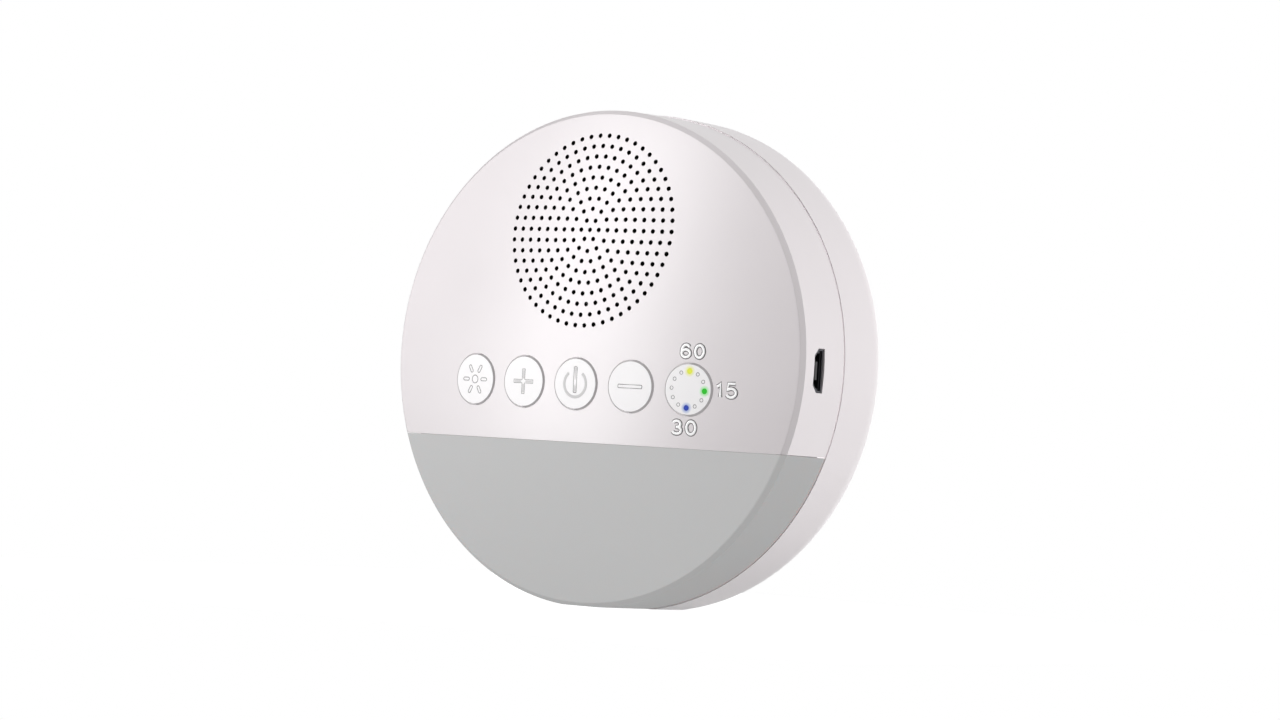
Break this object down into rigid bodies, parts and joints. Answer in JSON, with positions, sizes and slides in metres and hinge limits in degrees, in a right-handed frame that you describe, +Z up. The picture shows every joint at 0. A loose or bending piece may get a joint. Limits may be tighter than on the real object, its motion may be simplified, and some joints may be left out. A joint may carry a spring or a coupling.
{
  "type": "white noise sound machine",
  "caption": "Round bedside sound machine: a domed drum on a small flat, with a drilled speaker grille, push keys, a timer key with lamps, a night light and a side charging socket.",
  "frame": {"origin": "on the surface the drum stands on, under the middle of its depth (bounding box bottom centre)", "axes": "+X right as seen by someone who faces the keys, +Z up, -Y out of the domed front; the drum's axis runs along Y"},
  "size_m": [0.1, 0.0374, 0.0993],
  "materials": {
    "shell_white": "moulded ABS, satin gloss",
    "diffuser_grey": "milky grey polycarbonate, fine matt texture",
    "key_white": "moulded ABS, fine matt",
    "window_yellow": "lit light guide",
    "window_green": "lit light guide",
    "window_blue": "lit light guide",
    "screw_steel": "zinc plated",
    "speaker_cloth": "black open weave",
    "foam_grey": "closed-cell foam",
    "pressed_steel": "zinc plated pressing",
    "ferrite": "sintered, ground faces",
    "spider_cloth": "resin-dipped cloth",
    "surround_rubber": "moulded rubber",
    "cone_paper": "pressed paper",
    "copper_wire": "enamelled winding",
    "board_green": "solder mask",
    "board_white": "white solder mask",
    "black_plastic": "moulded epoxy or nylon",
    "lamp_resin": "clear resin over phosphor",
    "socket_steel": "black nickel plated",
    "contact_gold": "gold plated",
    "can_aluminium": "drawn can",
    "natural_nylon": "moulded nylon",
    "cell_can": "nickel plated can",
    "cell_wrap": "shrink sleeve",
    "lead_red": "PVC insulation",
    "lead_white": "PVC insulation"
  },
  "bodies": {
    "root": {"front_shell": "shell_white", "light_diffuser": "diffuser_grey", "rear_cover": "shell_white", "case_screws": "screw_steel", "grille_cloth": "speaker_cloth", "speaker_gasket": "foam_grey", "speaker_basket": "pressed_steel", "speaker_top_plate": "pressed_steel", "speaker_magnet": "ferrite", "speaker_yoke": "pressed_steel", "speaker_spider": "spider_cloth", "speaker_surround": "surround_rubber", "speaker_terminals": "contact_gold", "speaker_screws": "screw_steel", "switch_cases": "black_plastic", "switch_covers": "pressed_steel", "main_board": "board_green", "board_screws": "screw_steel", "control_chips": "black_plastic", "board_capacitors": "can_aluminium", "timer_leds": "lamp_resin", "usb_shell": "socket_steel", "usb_tongue": "black_plastic", "usb_contacts": "contact_gold", "lead_sockets": "natural_nylon", "lead_plugs": "natural_nylon", "light_board": "board_white", "light_board_leds": "lamp_resin", "light_board_screws": "screw_steel", "battery_cell": "cell_can", "battery_sleeve": "cell_wrap", "battery_tabs": "pressed_steel", "battery_board": "board_green", "battery_pad": "foam_grey", "speaker_leads": "lead_red", "battery_leads": "lead_red", "light_leads": "lead_white"},
    "light_button": {"light_key": "key_white", "light_plunger": "black_plastic"},
    "volume_up_button": {"volume_up_key": "key_white", "volume_up_plunger": "black_plastic"},
    "power_button": {"power_key": "key_white", "power_plunger": "black_plastic"},
    "volume_down_button": {"volume_down_key": "key_white", "volume_down_plunger": "black_plastic"},
    "timer_button": {"timer_key": "key_white", "timer_plunger": "black_plastic", "timer_window_60": "window_yellow", "timer_window_15": "window_green", "timer_window_30": "window_blue"},
    "cone_assembly": {"speaker_cone": "cone_paper", "speaker_dust_cap": "cone_paper", "voice_coil": "copper_wire"}
  },
  "joints": [
    {"name": "light_press", "type": "slide", "parent": "root", "child": "light_button", "axis": [0, 1, 0], "range_m": [0, 0.00035], "stiffness_N_per_m": 800, "springref_m": -0.0005},
    {"name": "volume_up_press", "type": "slide", "parent": "root", "child": "volume_up_button", "axis": [0, 1, 0], "range_m": [0, 0.00035], "stiffness_N_per_m": 800, "springref_m": -0.0005},
    {"name": "power_press", "type": "slide", "parent": "root", "child": "power_button", "axis": [0, 1, 0], "range_m": [0, 0.00035], "stiffness_N_per_m": 800, "springref_m": -0.0005},
    {"name": "volume_down_press", "type": "slide", "parent": "root", "child": "volume_down_button", "axis": [0, 1, 0], "range_m": [0, 0.00035], "stiffness_N_per_m": 800, "springref_m": -0.0005},
    {"name": "timer_press", "type": "slide", "parent": "root", "child": "timer_button", "axis": [0, 1, 0], "range_m": [0, 0.00035], "stiffness_N_per_m": 800, "springref_m": -0.0005},
    {"name": "cone_stroke", "type": "slide", "parent": "root", "child": "cone_assembly", "axis": [0, 1, 0], "range_m": [-0.0008, 0.0008], "stiffness_N_per_m": 600}
  ]
}
